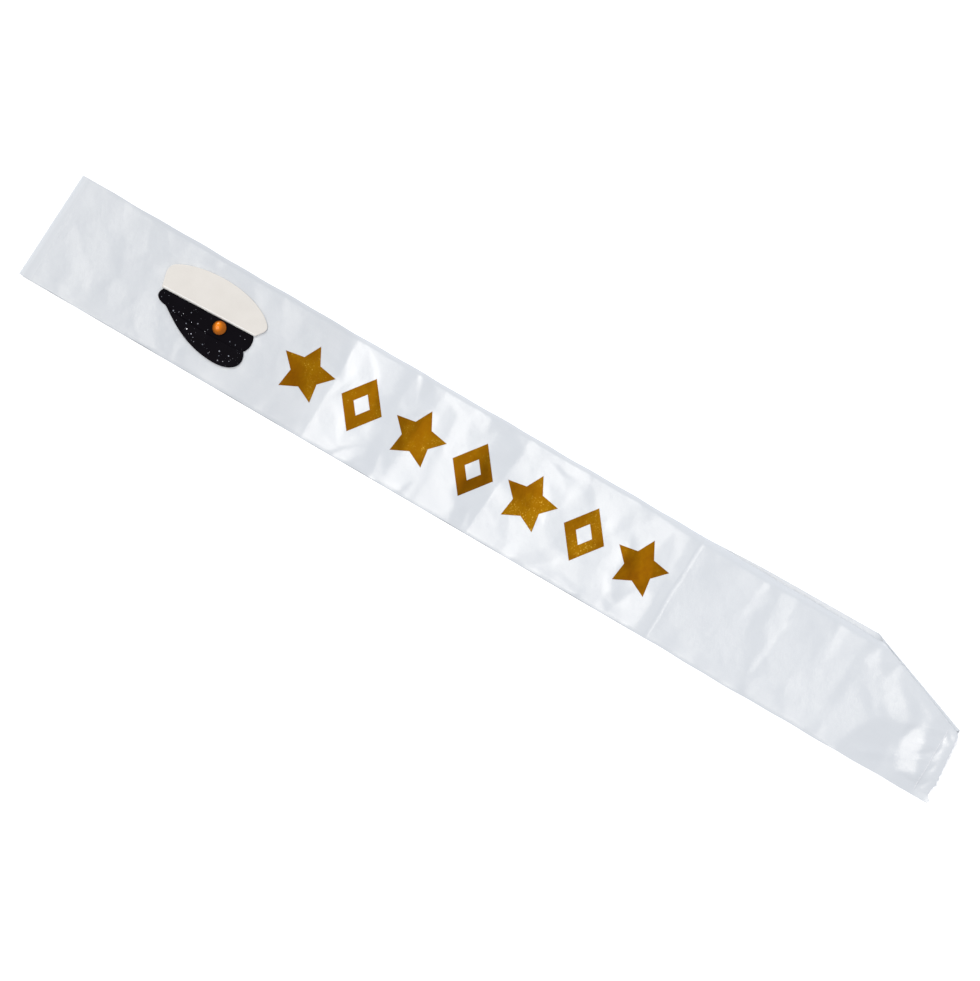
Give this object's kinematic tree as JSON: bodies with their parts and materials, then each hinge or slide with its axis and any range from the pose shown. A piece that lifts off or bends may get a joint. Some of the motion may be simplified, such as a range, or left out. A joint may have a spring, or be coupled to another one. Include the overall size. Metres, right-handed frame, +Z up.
{
  "type": "satin shoulder sash",
  "caption": "White satin sash pressed flat as a closed loop, pleated and sewn at the hip end, with gold foil stars and lozenges and a felt peaked cap badge near the shoulder fold.",
  "frame": {"origin": "on the floor, under the middle of the bounding box", "axes": "+X along the sash from the shoulder fold to the sewn hip end, +Y across it towards the pleated corner, +Z up out of the decorated face"},
  "size_m": [0.9024, 0.1068, 0.0133],
  "materials": {
    "satin": "smooth white polyester satin, soft sheen",
    "gold_foil": "deep gold metallic foil, pressed on",
    "cream_felt": "thick cream felt, fine nap",
    "black_band": "smooth black, dull",
    "black_glitter": "black with sparse silver glitter",
    "gold_button": "orange gold, shiny dome"
  },
  "bodies": {
    "root": {"satin_ribbon": "satin", "foil_star_1": "gold_foil", "foil_star_2": "gold_foil", "foil_star_3": "gold_foil", "foil_star_4": "gold_foil", "foil_lozenge_1": "gold_foil", "foil_lozenge_2": "gold_foil", "foil_lozenge_3": "gold_foil", "cap_crown": "cream_felt", "cap_band": "black_band", "cap_visor": "black_glitter", "cap_button": "gold_button"}
  },
  "joints": []
}
